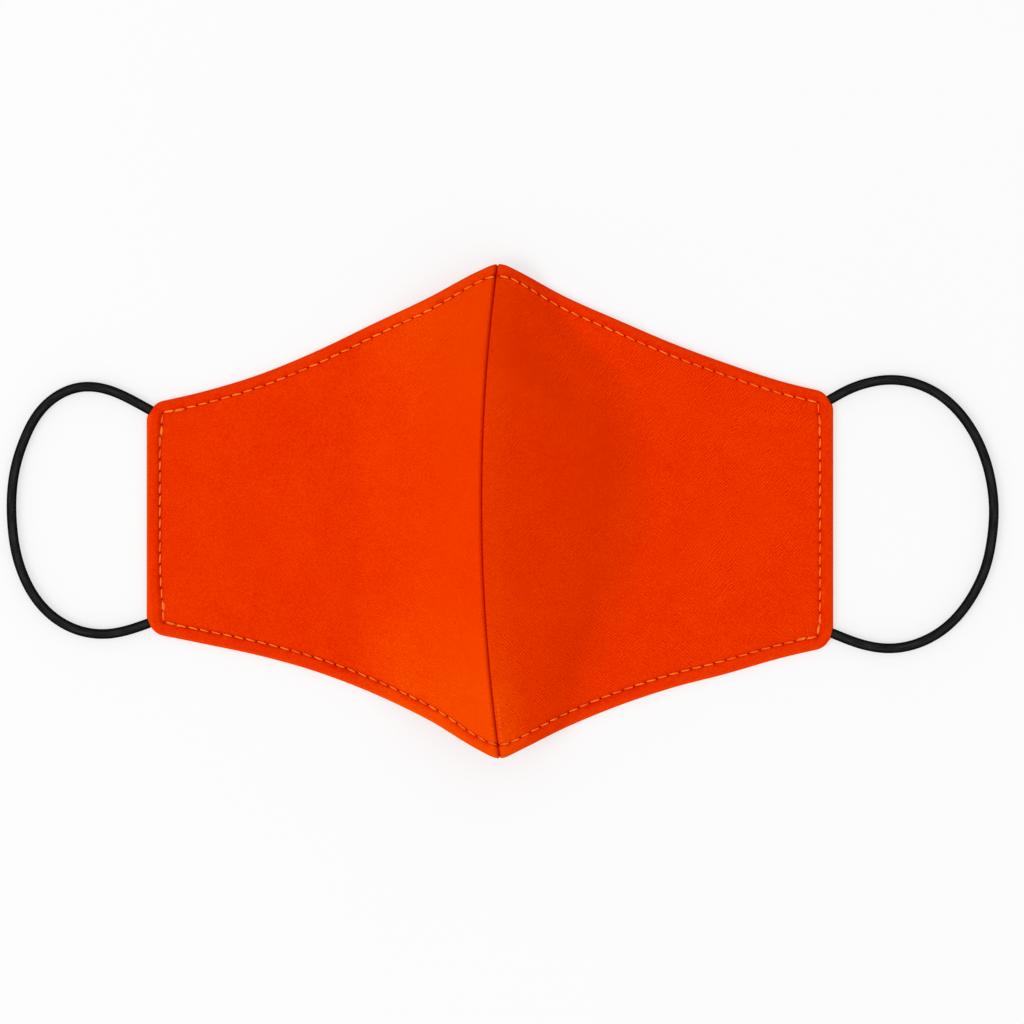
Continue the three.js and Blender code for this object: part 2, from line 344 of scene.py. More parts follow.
def cord_swell(panel, x, y):
    """The hem's rise over a cord's end that is sewn inside it."""
    swell = 0
    route = ROUTES[panel.side]
    for near, far in ((route[0], route[1]), (route[-1], route[-2])):
        start = Vector((panel.edge_x + panel.sign * near[0] * MM, near[1] * MM))
        along = Vector((panel.sign * (near[0] - far[0]), near[1] - far[1])).normalized()
        place = Vector((x, y)) - start
        forward = place.dot(along)
        aside = (place - along * forward).length
        swell += bump(aside, CORD_SWELL_WIDTH) * ease(-6 * MM, -1 * MM, -forward)
    return CORD_SWELL * min(1, swell)


def side_bend(panel, y):
    """How far inwards of its straight run the side's line of stitches lies."""
    nose, nose_reach = SIDE_BENDS[panel.side]["nose"]
    chin, chin_reach = SIDE_BENDS[panel.side]["chin"]
    from_nose = panel.nose_corner - HEM_WIDTH - y
    from_chin = y - panel.chin_corner - HEM_WIDTH
    nose_bend = nose * clamp(1 - from_nose / nose_reach, 0, 1) ** 2
    chin_bend = chin * clamp(1 - from_chin / chin_reach, 0, 1) ** 2
    return nose_bend + chin_bend


def rim_depth(panel, end, from_edge):
    """How far inwards of the nose or chin rim its line of stitches lies."""
    from_seam = panel.width - from_edge
    rise = PEAK_RISE * ease(PEAK_RISE_REACH, 0, from_seam)
    dip = PEAK_DIP * bump(from_seam, PEAK_REACH)
    return RIM_DEPTH[end] - rise + dip


def hem_place(panel, x, y):
    """A place's distances inwards from the edges, and inwards past the hem's lines of stitches."""
    across = panel.sign * (panel.edge_x - x) / panel.width
    nose = rim_y(panel, "nose", across) - y
    chin = y - rim_y(panel, "chin", across)
    end = "nose" if nose < chin else "chin"
    from_edge = across * panel.width
    from_rim = min(nose, chin) / rim_slant(panel, end, across)
    past_side = from_edge - HEM_WIDTH - side_bend(panel, y)
    past_rim = from_rim - rim_depth(panel, end, from_edge)
    outside_both = max(past_side, past_rim) < 0
    past_line = -math.hypot(past_side, past_rim) if outside_both else min(past_side, past_rim)
    return SimpleNamespace(
        end=end, from_edge=from_edge, from_rim=from_rim,
        past_side=past_side, past_rim=past_rim, past_line=past_line,
    )


def face_height(panel, x, y, upper):
    """Height of one of the cloth's two faces at a place seen from above."""
    hem = hem_place(panel, x, y)
    from_seam = max(0, panel.sign * (x - seam_x(y)))
    inward = max(0, inset(hem.from_edge, hem.from_rim, CORNER_RADIUS))
    lift = ridge_lift(panel, x, y)
    stand = steepness(panel, x, y, lift)

    # Round edge, puffed hem, the line of stitches and the plain cloth inside it
    edge = clamp(inward / RIM_ROUND, 0, 1)
    roundness = math.sqrt(1 - (1 - edge) ** 2)
    plain = ease(*HEM_FADE, inward)
    thickness = blend(HEM_THICKNESS, CLOTH_THICKNESS, plain)
    middle = 0.5 * thickness
    rise = stitch_rise(panel, hem, x, y)
    groove = bump(hem.past_line, GROOVE_WIDTH) * (0.3 - 0.14 * rise)
    pull = noise.noise(Vector((x / (5 * MM), y / (5 * MM), 2.4)))
    puff = PUFF_HEIGHT * bump(hem.past_line + PUFF_PLACE, PUFF_WIDTH)
    puff *= 0.7 + 0.3 * rise + 0.9 * pull
    pillow = PILLOW_HEIGHT * bump(hem.past_line - PILLOW_PLACE, PILLOW_WIDTH)
    pillow *= 0.6 + 0.4 * rise + 0.6 * pull

    # The seam: both panels roll down into it, a little unevenly along its length
    roll = clamp(1 - from_seam / SEAM_ROLL[panel.side], 0, 1)
    uneven = SEAM_UNEVEN * noise.noise(Vector((x / (3 * MM), y / (2.2 * MM), 5))) * bump(from_seam, 4 * MM)

    hills = sum(soft_hills(x, y, *row) for row in HILLS) * ease(0, 9 * MM, inward)
    if upper:
        top = middle + middle * roundness + puff + pillow - groove * thickness + uneven
        top += cord_swell(panel, x, y) * roundness * (1 - plain)
        top -= SEAM_SINK[panel.side] * roll * roll
        return lift + hills + top * stand
    low = middle - middle * roundness + 0.22 * groove * thickness
    low += SEAM_LIFT * roll * roll
    return lift + hills + low * stand


# Lines of stitches

def line_points(panel, line):
    """Places along one line of stitches, seen from above, from the seam outwards or from nose to chin."""
    corners = {}
    for end, inwards in (("nose", -1), ("chin", 1)):
        y = panel.nose_corner if end == "nose" else panel.chin_corner
        for _ in range(4):
            from_edge = HEM_WIDTH + side_bend(panel, y)
            across = from_edge / panel.width
            y = rim_y(panel, end, across) + inwards * RIM_DEPTH[end] * rim_slant(panel, end, across)
        corners[end] = from_edge, y
    if line == "side":
        run = [blend(corners["nose"][1], corners["chin"][1], i / LINE_STEPS) for i in range(LINE_STEPS + 1)]
        return [(panel.edge_x - panel.sign * (HEM_WIDTH + side_bend(panel, y)), y) for y in run]
    points = []
    inwards = -1 if line == "nose" else 1
    for i in range(LINE_STEPS + 1):
        from_edge = blend(panel.width, corners[line][0], i / LINE_STEPS)
        across = from_edge / panel.width
        depth = rim_depth(panel, line, from_edge) * rim_slant(panel, line, across)
        y = rim_y(panel, line, across) + inwards * depth
        x = panel.edge_x - panel.sign * from_edge
        if panel.sign * (x - seam_x(y)) >= 0.1 * MM:
            points.append((x, y))
    return points


def measure_line(panel, line):
    """The line's places with the length so far, in stitches: a whole number of them from end to end."""
    points = line_points(panel, line)
    lengths = [0]
    last = Vector((*points[0], ridge_lift(panel, *points[0])))
    for point in points[1:]:
        here = Vector((*point, ridge_lift(panel, *point)))
        lengths.append(lengths[-1] + (here - last).length)
        last = here
    stitches = round(lengths[-1] / STITCH_PITCH)
    scale = stitches / lengths[-1]
    return SimpleNamespace(points=points, counts=[length * scale for length in lengths], stitches=stitches)


def point_at(line, count):
    """The place on a line of stitches that many stitches from its start."""
    i = 0
    while i < len(line.counts) - 2 and line.counts[i + 1] < count:
        i += 1
    share = (count - line.counts[i]) / (line.counts[i + 1] - line.counts[i])
    return tuple(blend(a, b, share) for a, b in zip(line.points[i], line.points[i + 1]))


def count_at(line, place, axis):
    """How many stitches from its start a line passes a place, compared by x (0) or y (1)."""
    falling = line.points[-1][axis] < line.points[0][axis]
    low, high = 0, len(line.points) - 1
    while high - low > 1:
        half = (low + high) // 2
        passed = line.points[half][axis] > place if falling else line.points[half][axis] < place
        if passed:
            low = half
        else:
            high = half
    share = (place - line.points[low][axis]) / (line.points[high][axis] - line.points[low][axis])
    return blend(line.counts[low], line.counts[high], share)


PANELS = {side: describe_panel(side) for side in ("left", "right")}
for each in PANELS.values():
    each.lines = {line: measure_line(each, line) for line in ("nose", "side", "chin")}


def stitch_rise(panel, hem, x, y):
    """From -1 at a needle hole to 1 half a stitch on, along the nearest hem line."""
    if hem.past_side < hem.past_rim:
        count = count_at(panel.lines["side"], y, 1)
    else:
        count = count_at(panel.lines[hem.end], x, 0)
    return -math.cos(2 * math.pi * count)


# Materials

def add_nodes(tree, kind, settings=(), **inputs):
    """A shader node with some of its settings, and its inputs set or linked by name."""
    made = tree.nodes.new(kind)
    for name, value in dict(settings).items():
        setattr(made, name, value)
    for name, value in inputs.items():
        key = int(name[1:]) if name[0] == "i" and name[1:].isdigit() else name.replace("_", " ")
        if isinstance(value, bpy.types.NodeSocket):
            tree.links.new(value, made.inputs[key])
        else:
            made.inputs[key].default_value = value
    return made


def calculate(tree, operation, first, second=0.0, third=0.0):
    """The result of one sum on sockets or numbers."""
    made = add_nodes(tree, "ShaderNodeMath", {"operation": operation}, i0=first, i1=second, i2=third)
    return made.outputs[0]


def rescale(tree, value, low, high, new_low, new_high, kind="SMOOTHSTEP"):
    made = add_nodes(
        tree, "ShaderNodeMapRange", {"interpolation_type": kind},
        Value=value, From_Min=low, From_Max=high, To_Min=new_low, To_Max=new_high,
    )
    return made.outputs["Result"]


def mix_colours(tree, share, first, second, kind="MIX"):
    made = add_nodes(
        tree, "ShaderNodeMix", {"data_type": "RGBA", "blend_type": kind}, i0=share, i6=first, i7=second
    )
    return made.outputs[2]


def new_group(name, inputs, outputs):
    tree = bpy.data.node_groups.new(name, "ShaderNodeTree")
    for label, kind in inputs:
        tree.interface.new_socket(label, in_out="INPUT", socket_type=kind)
    for label, kind in outputs:
        tree.interface.new_socket(label, in_out="OUTPUT", socket_type=kind)
    return tree, tree.nodes.new("NodeGroupInput").outputs, tree.nodes.new("NodeGroupOutput").inputs


def use_group(tree, group, **inputs):
    return add_nodes(tree, "ShaderNodeGroup", {"node_tree": group}, **inputs).outputs


def make_fibre_group():
    """Fine fuzz of spun fibres: a height and a shade about 1."""
    tree, given, result = new_group(
        "fibre",
        [("Vector", "NodeSocketVector"), ("Grain", "NodeSocketFloat"), ("Contrast", "NodeSocketFloat")],
        [("Height", "NodeSocketFloat"), ("Shade", "NodeSocketFloat")],
    )
    scale = calculate(tree, "DIVIDE", 1.0, given["Grain"])
    fine = add_nodes(
        tree, "ShaderNodeTexNoise", {}, Vector=given["Vector"], Scale=scale, Detail=3.0, Roughness=0.65
    ).outputs["Fac"]
    tree.links.new(fine, result["Height"])
    swing = calculate(tree, "MULTIPLY", calculate(tree, "SUBTRACT", fine, 0.5), given["Contrast"])
    tree.links.new(calculate(tree, "ADD", swing, 1.0), result["Shade"])
    return tree


def make_weave_group():
    """Fine slanting ribs of a soft weave, which lean one way in some patches and the other way in the rest:
    a height from 0 to 1."""
    tree, given, result = new_group(
        "weave",
        [("Vector", "NodeSocketVector"), ("Pitch", "NodeSocketFloat"), ("Lean", "NodeSocketFloat")],
        [("Height", "NodeSocketFloat")],
    )
    wander = use_group(tree, FIBRE, Vector=given["Vector"], Grain=12 * MM, Contrast=1.0)["Height"]
    jitter = use_group(tree, FIBRE, Vector=given["Vector"], Grain=2.2 * MM, Contrast=1.0)["Height"]
    broken = use_group(tree, FIBRE, Vector=given["Vector"], Grain=1.3 * MM, Contrast=1.0)["Height"]
    patch = use_group(tree, FIBRE, Vector=given["Vector"], Grain=30 * MM, Contrast=1.0)["Height"]
    axes = add_nodes(tree, "ShaderNodeSeparateXYZ", {}, Vector=given["Vector"]).outputs
    turn = calculate(tree, "DIVIDE", 2 * math.pi, given["Pitch"])
    drift = calculate(tree, "MULTIPLY_ADD", wander, 24.0, calculate(tree, "MULTIPLY", jitter, 9.0))
    ribs = []
    for steep, level in ((0.75, -0.66), (0.66, 0.75)):
        lifted = calculate(tree, "MULTIPLY", axes["Y"], level)
        slant = calculate(tree, "MULTIPLY_ADD", axes["X"], steep, lifted)
        ribs.append(calculate(tree, "SINE", calculate(tree, "MULTIPLY_ADD", slant, turn, drift)))
    share = calculate(tree, "ADD", calculate(tree, "MULTIPLY_ADD", patch, 4.0, -2.0), given["Lean"])
    share = rescale(tree, share, -0.5, 1.5, 0.12, 0.88)
    other = calculate(tree, "SUBTRACT", 1.0, share)
    both = calculate(tree, "MULTIPLY_ADD", ribs[0], share, calculate(tree, "MULTIPLY", ribs[1], other))
    both = calculate(tree, "MULTIPLY", both, rescale(tree, broken, 0.37, 0.61, 0.1, 1.15))
    tree.links.new(calculate(tree, "MULTIPLY_ADD", both, 0.5, 0.5), result["Height"])
    return tree


def make_needle_group():
    """Marks along a row of stitches, from the row's own place on the cloth: its holes, painted shade along
    its drawn-in line, painted shade in the hem beside it, a painted highlight along the hem's outer edge,
    and all that lies outside it."""
    tree, given, result = new_group(
        "needle",
        [("Line", "NodeSocketVector")],
        [(name, "NodeSocketFloat") for name in ("Hole", "GrooveShade", "HemShade", "EdgeHighlight", "Outside")],
    )
    line = add_nodes(tree, "ShaderNodeSeparateXYZ", {}, Vector=given["Line"]).outputs
    nearest = calculate(tree, "ROUND", line["X"])
    along = calculate(tree, "MULTIPLY", calculate(tree, "SUBTRACT", line["X"], nearest), STITCH_PITCH / MM)
    past_square = calculate(tree, "MULTIPLY", line["Y"], line["Y"])
    square = calculate(tree, "MULTIPLY_ADD", along, along, past_square)
    reach = rescale(tree, line["Z"], -0.4, -0.1, 0.0, 1.0)
    hole = rescale(tree, calculate(tree, "SQRT", square), 0.16, 0.5, 1.0, 0.0)
    groove_shade = rescale(tree, calculate(tree, "ABSOLUTE", line["Y"]), 0.1, 0.9, 1.0, 0.0)
    tree.links.new(calculate(tree, "MULTIPLY", hole, reach), result["Hole"])
    tree.links.new(calculate(tree, "MULTIPLY", groove_shade, reach), result["GrooveShade"])
    # Painted shade in the hem band just outside the stitches
    outside = rescale(tree, line["Y"], -2.8, -0.8, 0.0, 1.0)
    outside = calculate(tree, "MULTIPLY", outside, rescale(tree, line["Y"], -0.8, 0.2, 1.0, 0.0))
    tree.links.new(calculate(tree, "MULTIPLY", outside, reach), result["HemShade"])
    # Painted highlight along the hem's round outer edge
    tree.links.new(rescale(tree, line["Y"], -3.9, -3.2, 1.0, 0.0), result["EdgeHighlight"])
    tree.links.new(rescale(tree, line["Y"], -1.2, -0.2, 1.0, 0.0), result["Outside"])
    return tree


def new_material(name):
    material = bpy.data.materials.new(name)
    material.use_nodes = True
    tree = material.node_tree
    tree.nodes.clear()
    shader = tree.nodes.new("ShaderNodeBsdfPrincipled")
    tree.links.new(shader.outputs[0], tree.nodes.new("ShaderNodeOutputMaterial").inputs["Surface"])
    return material, tree, shader


def set_shader(shader, **values):
    for name, value in values.items():
        shader.inputs[name.replace("_", " ")].default_value = value


# Shader groups and colours
FIBRE = make_fibre_group()
WEAVE = make_weave_group()
NEEDLE = make_needle_group()

CLOTH_LIGHT = (0.78, 0.047, 0.0, 1)
CLOTH_DARK = (0.62, 0.01, 0.0, 1)
# Painted light: a lighter, more orange tint multiplied in on the slopes that face the lamp
CLOTH_LIT_TINT = (1.07, 2.05, 1.0, 1)
# Painted shade colour for the seam's groove and the needle holes
CLOTH_SHADE_RED = (0.34, 0.0, 0.0, 1)
THREAD_ORANGE = (0.97, 0.235, 0.024, 1)
THREAD_DULL = (0.82, 0.12, 0.012, 1)
CORD_BLACK = (0.0022, 0.0024, 0.0026, 1)
# Painted highlight colour for the cord's top
CORD_HIGHLIGHT = (0.022, 0.0225, 0.0235, 1)
FLOOR_TINT = (0.3, 0.3, 0.3, 1)

# Row of light threads beside the seam: how far from it, their pitch, and where the row starts and ends
BEADS_ASIDE = 1.75 * MM
BEAD_PITCH = 1.45 * MM
BEADS_START = (-77 * MM, -73 * MM)
BEADS_END = (-66 * MM, -54 * MM)


def make_beads(tree, across, place):
    """A row of small light threads that show beside the seam's right, near the chin."""
    up = add_nodes(tree, "ShaderNodeSeparateXYZ", {}, Vector=place).outputs["Y"]
    aside = calculate(tree, "ABSOLUTE", calculate(tree, "SUBTRACT", across, BEADS_ASIDE))
    row = rescale(tree, aside, 0.1 * MM, 0.5 * MM, 1.0, 0.0)
    run = calculate(
        tree, "MULTIPLY", rescale(tree, up, *BEADS_START, 0.0, 1.0),
        rescale(tree, up, *BEADS_END, 1.0, 0.0),
    )
    slant = calculate(tree, "MULTIPLY_ADD", across, -0.5, up)
    bead = calculate(tree, "SINE", calculate(tree, "MULTIPLY", slant, 2 * math.pi / BEAD_PITCH))
    bead = rescale(tree, bead, -0.2, 0.9, 0.1, 0.75)
    return calculate(tree, "MULTIPLY", calculate(tree, "MULTIPLY", row, run), bead)


def make_cloth_material():
    material, tree, shader = new_material("mask_cloth")
    set_shader(shader, Roughness=0.9, Sheen_Weight=0.08, Sheen_Roughness=0.45, Specular_IOR_Level=0.0)
    set_shader(shader, Sheen_Tint=(1, 0.16, 0, 1))
    cut = add_nodes(tree, "ShaderNodeUVMap", {"uv_map": "cut"}).outputs[0]
    across, along, _ = add_nodes(tree, "ShaderNodeSeparateXYZ", {}, Vector=cut).outputs
    place = tree.nodes.new("ShaderNodeTexCoord").outputs["Object"]
    lean = calculate(tree, "MULTIPLY_ADD", along, 1 / (50 * MM), 0.7)
    weave = use_group(tree, WEAVE, Vector=cut, Pitch=WEAVE_PITCH, Lean=lean)["Height"]
    fibre = use_group(tree, FIBRE, Vector=place, Grain=0.55 * MM, Contrast=1.0)["Height"]
    patches = use_group(tree, FIBRE, Vector=place, Grain=5 * MM, Contrast=1.0)["Height"]
    mottle = use_group(tree, FIBRE, Vector=place, Grain=26 * MM, Contrast=1.0)["Height"]

    marks = {"Hole": [], "GrooveShade": [], "HemShade": [], "EdgeHighlight": [], "Outside": []}
    for line in ("rim_line", "side_line"):
        row = add_nodes(tree, "ShaderNodeAttribute", {"attribute_name": line}).outputs["Vector"]
        found = use_group(tree, NEEDLE, Line=row)
        for name, both in marks.items():
            both.append(found[name])
    hole, groove_shade, hem, edge, outside = (calculate(tree, "MAXIMUM", *both) for both in marks.values())

    # From dark red to light orange by weave, fuzz and patches, with painted shade along the stitches and in
    # the hem beside them, and painted highlights on the hem's edge, beside the seam and on the slopes that
    # face the lamp
    slope = rescale(tree, across, -42 * MM, -20 * MM, 0.0, 1.0)
    wear = use_group(tree, FIBRE, Vector=place, Grain=14 * MM, Contrast=1.0)["Height"]
    clear = rescale(tree, wear, 0.35, 0.65, 0.45, 0.85)
    clear = calculate(tree, "MULTIPLY", clear, calculate(tree, "MULTIPLY_ADD", slope, 0.55, 0.45))
    clear = calculate(tree, "MULTIPLY", clear, calculate(tree, "MULTIPLY_ADD", outside, -0.85, 1.0))
    from_middle = calculate(tree, "ABSOLUTE", along)
    ends = rescale(tree, from_middle, 25 * MM, 62 * MM, 0.0, 0.5)
    ends = calculate(tree, "MULTIPLY", ends, rescale(tree, across, -2 * MM, 2 * MM, 0.0, 1.0))
    clear = calculate(tree, "MULTIPLY_ADD", clear, ends, clear)
    weave = calculate(tree, "MULTIPLY_ADD", calculate(tree, "SUBTRACT", weave, 0.5), clear, 0.5)
    grain = 0.0
    for part, strength in ((weave, 1.9), (fibre, 1.7), (patches, 0.35), (mottle, 0.45)):
        grain = calculate(tree, "MULTIPLY_ADD", calculate(tree, "SUBTRACT", part, 0.5), strength, grain)
    smooth = rescale(tree, across, -36 * MM, -14 * MM, 0.0, 1.0)
    smooth = calculate(tree, "MULTIPLY", smooth, rescale(tree, across, -3 * MM, 0.0, 1.0, 0.0))
    tone = calculate(tree, "MULTIPLY_ADD", grain, calculate(tree, "MULTIPLY_ADD", smooth, -0.5, 1.0), 0.5)
    # Painted shade along each line of stitches, where the cloth is drawn in
    tone = calculate(tree, "MULTIPLY_ADD", groove_shade, -0.22, tone)
    # Painted shade in patches, with lighter patches between, in the hem just outside the stitches
    tone = calculate(tree, "MULTIPLY_ADD", hem, calculate(tree, "MULTIPLY_ADD", patches, -1.8, 0.8), tone)
    # Painted highlight along the hem's round outer edge
    tone = calculate(tree, "MULTIPLY_ADD", edge, 0.3, tone)
    # Painted highlight: a lighter strip on the right panel beside the seam, where its rolled edge faces the
    # lamp
    seam_highlight = rescale(tree, across, 0.3 * MM, 1.2 * MM, 0.0, 1.0)
    seam_highlight = calculate(tree, "MULTIPLY", seam_highlight, rescale(tree, across, 2 * MM, 13 * MM, 1.0, 0.0))
    tone = calculate(tree, "MULTIPLY_ADD", seam_highlight, 0.24, tone)
    dyed = mix_colours(tree, tone, CLOTH_DARK, CLOTH_LIGHT)
    # Painted light: the slopes beside the ridge that face the lamp are tinted lighter and more orange
    lit_tint_share = add_nodes(tree, "ShaderNodeAttribute", {"attribute_name": "painted_light"}).outputs["Fac"]
    dyed = mix_colours(tree, lit_tint_share, dyed, CLOTH_LIT_TINT, "MULTIPLY")
    dyed = mix_colours(tree, make_beads(tree, across, place), dyed, THREAD_DULL)

    # Painted shade in deep red: in the seam's groove, beside it where the left panel rolls down into it,
    # and in the needle holes
    beside_left = rescale(tree, across, -1.9 * MM, 0.0, 0.0, 0.62)
    beside_right = rescale(tree, across, 0.1 * MM, 0.35 * MM, 1.0, 0.0)
    seam_and_hole_shade = calculate(tree, "MULTIPLY", beside_left, beside_right)
    core = rescale(tree, calculate(tree, "ABSOLUTE", across), 0.16 * MM, 0.5 * MM, 0.9, 0.0)
    seam_and_hole_shade = calculate(tree, "MAXIMUM", seam_and_hole_shade, core)
    seam_and_hole_shade = calculate(tree, "MAXIMUM", seam_and_hole_shade, calculate(tree, "MULTIPLY", hole, 0.7))
    tree.links.new(mix_colours(tree, seam_and_hole_shade, dyed, CLOTH_SHADE_RED), shader.inputs["Base Color"])

    relief = calculate(tree, "MULTIPLY_ADD", weave, 1.0, calculate(tree, "MULTIPLY", fibre, 1.4))
    relief = calculate(tree, "MULTIPLY_ADD", hole, -2.0, relief)
    normal = add_nodes(tree, "ShaderNodeBump", {}, Strength=0.4, Distance=0.07 * MM, Height=relief)
    tree.links.new(normal.outputs[0], shader.inputs["Normal"])
    return material


def make_thread_material():
    """Two plies twisted together: stripes that wind along each stitch."""
    material, tree, shader = new_material("hem_thread")
    set_shader(shader, Roughness=0.6, Specular_IOR_Level=0.05)
    set_shader(shader, Sheen_Weight=0.1, Sheen_Tint=(1, 0.4, 0.05, 1))
    unrolled = add_nodes(tree, "ShaderNodeUVMap", {"uv_map": "thread"}).outputs[0]
    axes = add_nodes(tree, "ShaderNodeSeparateXYZ", {}, Vector=unrolled).outputs
    winding = calculate(tree, "MULTIPLY_ADD", axes["Y"], 7.0, calculate(tree, "MULTIPLY", axes["X"], 2.0))
    ply = calculate(tree, "SINE", calculate(tree, "MULTIPLY", winding, 2 * math.pi))
    ply = calculate(tree, "MULTIPLY_ADD", ply, 0.5, 0.5)
    place = tree.nodes.new("ShaderNodeTexCoord").outputs["Object"]
    fibre = use_group(tree, FIBRE, Vector=place, Grain=0.25 * MM, Contrast=0.5)
    patch = use_group(tree, FIBRE, Vector=place, Grain=6 * MM, Contrast=2.2)["Shade"]
    colour = mix_colours(tree, rescale(tree, patch, 0.7, 1.3, 0.0, 1.0), THREAD_DULL, THREAD_ORANGE)
    shade = calculate(tree, "MULTIPLY", fibre["Shade"], calculate(tree, "MULTIPLY_ADD", ply, 0.3, 0.8))
    tree.links.new(mix_colours(tree, 1.0, colour, shade, "MULTIPLY"), shader.inputs["Base Color"])
    height = calculate(tree, "MULTIPLY_ADD", fibre["Height"], 0.4, ply)
    normal = add_nodes(tree, "ShaderNodeBump", {}, Strength=0.5, Distance=0.08 * MM, Height=height)
    tree.links.new(normal.outputs[0], shader.inputs["Normal"])
    return material


def make_cord_material():
    """Round knitted elastic: ribs along it, each a chain of small loops, with a painted highlight along its
    top.
    """
    material, tree, shader = new_material("ear_elastic")
    set_shader(shader, Roughness=0.6, Specular_IOR_Level=0.01)
    unrolled = add_nodes(tree, "ShaderNodeUVMap", {"uv_map": "cord"}).outputs[0]
    axes = add_nodes(tree, "ShaderNodeSeparateXYZ", {}, Vector=unrolled).outputs
    around = calculate(tree, "MULTIPLY", axes["X"], 2 * math.pi * KNIT_RIBS)
    rib = calculate(tree, "COSINE", around)
    along = calculate(tree, "MULTIPLY", axes["Y"], 2 * math.pi * KNIT_RUN / KNIT_PITCH)
    lean = calculate(tree, "MULTIPLY", calculate(tree, "ABSOLUTE", rib), 1.6)
    loop = calculate(tree, "SINE", calculate(tree, "ADD", along, lean))
    height = calculate(tree, "MULTIPLY_ADD", loop, 0.35, calculate(tree, "MULTIPLY", rib, 0.5))
    place = tree.nodes.new("ShaderNodeTexCoord").outputs["Object"]
    fibre = use_group(tree, FIBRE, Vector=place, Grain=0.3 * MM, Contrast=0.5)
    streak = add_nodes(
        tree, "ShaderNodeCombineXYZ", {}, X=calculate(tree, "MULTIPLY", axes["X"], 26.0),
        Y=calculate(tree, "MULTIPLY", axes["Y"], KNIT_RUN / (9 * MM)),
    ).outputs[0]
    streaks = use_group(tree, FIBRE, Vector=streak, Grain=1.0, Contrast=1.0)["Height"]
    # Painted highlight: a lighter, streaky band along the cord's top, where light falls on it
    from_top = calculate(tree, "ABSOLUTE", calculate(tree, "SUBTRACT", axes["X"], 0.25))
    top_highlight = rescale(tree, from_top, 0.03, 0.16, 1.0, 0.0)
    share = calculate(tree, "MULTIPLY", top_highlight, rescale(tree, streaks, 0.35, 0.65, 0.25, 1.0))
    colour = mix_colours(tree, share, CORD_BLACK, CORD_HIGHLIGHT)
    tree.links.new(mix_colours(tree, 1.0, colour, fibre["Shade"], "MULTIPLY"), shader.inputs["Base Color"])
    normal = add_nodes(tree, "ShaderNodeBump", {}, Strength=0.5, Distance=0.1 * MM, Height=height)
    tree.links.new(normal.outputs[0], shader.inputs["Normal"])
    return material


def make_floor_material():
    material, tree, shader = new_material("table_top")
    set_shader(shader, Roughness=0.9, Specular_IOR_Level=0.05)
    set_shader(shader, Emission_Color=(1, 1, 1, 1), Emission_Strength=FLOOR_GLOW)
    place = tree.nodes.new("ShaderNodeTexCoord").outputs["Object"]
    shade = use_group(tree, FIBRE, Vector=place, Grain=180 * MM, Contrast=0.02)["Shade"]
    tree.links.new(mix_colours(tree, 1.0, FLOOR_TINT, shade, "MULTIPLY"), shader.inputs["Base Color"])
    return material


# Pieces

def add_piece(name, bm, material, slot=None, stands_for=None):
    """The finished shape as an object, which rides on the mask's one body if it has a slot."""
    mesh = bpy.data.meshes.new(name)
    bm.to_mesh(mesh)
    bm.free()
    mesh.shade_smooth()
    mesh.materials.append(material)
    piece = bpy.data.objects.new(name, mesh)
    bpy.context.scene.collection.objects.link(piece)
    if slot:
        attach(piece, "root")
    if stands_for:
        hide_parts(stands_for)
    return piece


def station(index, count, length, start_rows, end_rows):
    """Distance of one row of faces from the start: close rows at both ends and even steps between them."""
    if index < len(start_rows):
        return start_rows[index]
    from_end = len(start_rows) + count + len(end_rows) - 2 - index
    if from_end < len(end_rows):
        return length - end_rows[from_end]
    free = length - start_rows[-1] - end_rows[-1]
    return start_rows[-1] + free * (index - len(start_rows) + 1) / count


HEM_STATIONS = [row * MM for row in HEM_ROWS]
SEAM_STATIONS = [row * MM for row in SEAM_ROWS]
COLUMNS = INNER_COLUMNS + len(HEM_STATIONS) + len(SEAM_STATIONS) - 2
ROWS = INNER_ROWS + 2 * len(HEM_STATIONS) - 2


def place_from_above(panel, column, row):
    """Where a corner of the panel's net lies, seen from above. Its columns count from the side edge."""
    from_edge = station(column, INNER_COLUMNS, panel.width, HEM_STATIONS, SEAM_STATIONS)
    for _ in range(3):
        across = from_edge / panel.width
        nose = rim_y(panel, "nose", across)
        chin = rim_y(panel, "chin", across)
        slants = [rim_slant(panel, end, across) for end in ("chin", "nose")]
        chin_rows, nose_rows = ([row_at * slant for row_at in HEM_STATIONS] for slant in slants)
        from_chin = station(row, INNER_ROWS, nose - chin, chin_rows, nose_rows)
        length = panel.sign * (panel.edge_x - seam_x(chin + from_chin)) + SEAM_OVERLAP
        from_edge = station(column, INNER_COLUMNS, length, HEM_STATIONS, SEAM_STATIONS)
    from_nose = nose - chin - from_chin
    from_rim = min(from_chin, from_nose)
    edge, rim = round_corner(from_edge, from_rim, CORNER_RADIUS)
    seam, peak = round_corner(length - from_edge, rim, PEAK_RADIUS)
    if seam != length - from_edge:
        edge, rim = length - seam, peak
    y = nose - rim if from_nose < from_chin else chin + rim
    return panel.edge_x - panel.sign * edge, y


def cut_lengths(points):
    """Each net corner's place on the flat cut piece: its distance from the seam, and along the seam."""
    flat = {}
    middle = ROWS // 2
    for row in range(ROWS + 1):
        across = 0
        for column in range(COLUMNS, -1, -1):
            if column < COLUMNS:
                across += (points[column, row] - points[column + 1, row]).length
            flat[column, row] = [across, 0]
    for column in range(COLUMNS + 1):
        for step in (1, -1):
            along, row = 0, middle
            while 0 <= row + step <= ROWS:
                along += step * (points[column, row + step] - points[column, row]).length
                row += step
                flat[column, row][1] = along
    return flat


